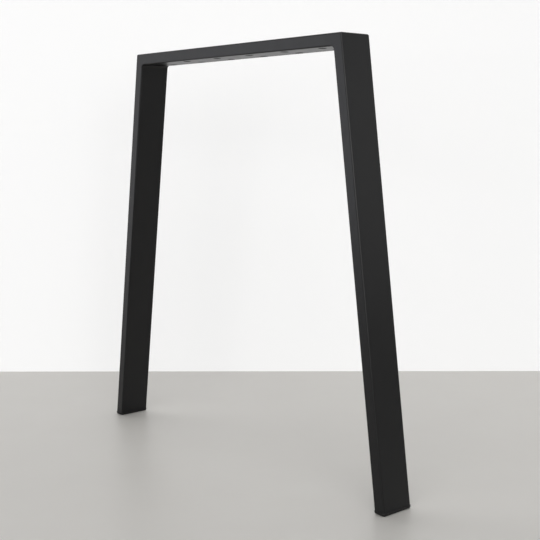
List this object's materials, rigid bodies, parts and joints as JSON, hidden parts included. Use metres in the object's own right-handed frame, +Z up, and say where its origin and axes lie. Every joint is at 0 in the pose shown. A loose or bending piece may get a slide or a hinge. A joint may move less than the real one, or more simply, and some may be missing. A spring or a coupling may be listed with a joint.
{
  "type": "table leg",
  "caption": "Trapezoid table leg of welded rectangular steel tube, its legs leaning out to plugged feet, with screw holes up through the top bar.",
  "frame": {"origin": "on the floor, midway between the two feet and midway through the depth of the tube", "axes": "+Z up, +X across the frame from the left foot to the right foot, +Y from the front of the frame to its back"},
  "size_m": [0.7512, 0.0622, 0.72],
  "materials": {
    "powder_coat": "matt black powder coat with a fine texture",
    "foot_plastic": "moulded black plastic with a satin surface"
  },
  "bodies": {
    "root": {"top_bar": "powder_coat", "left_leg": "powder_coat", "right_leg": "powder_coat", "left_corner_weld": "powder_coat", "right_corner_weld": "powder_coat", "left_foot_plug": "foot_plastic", "right_foot_plug": "foot_plastic"}
  },
  "joints": []
}
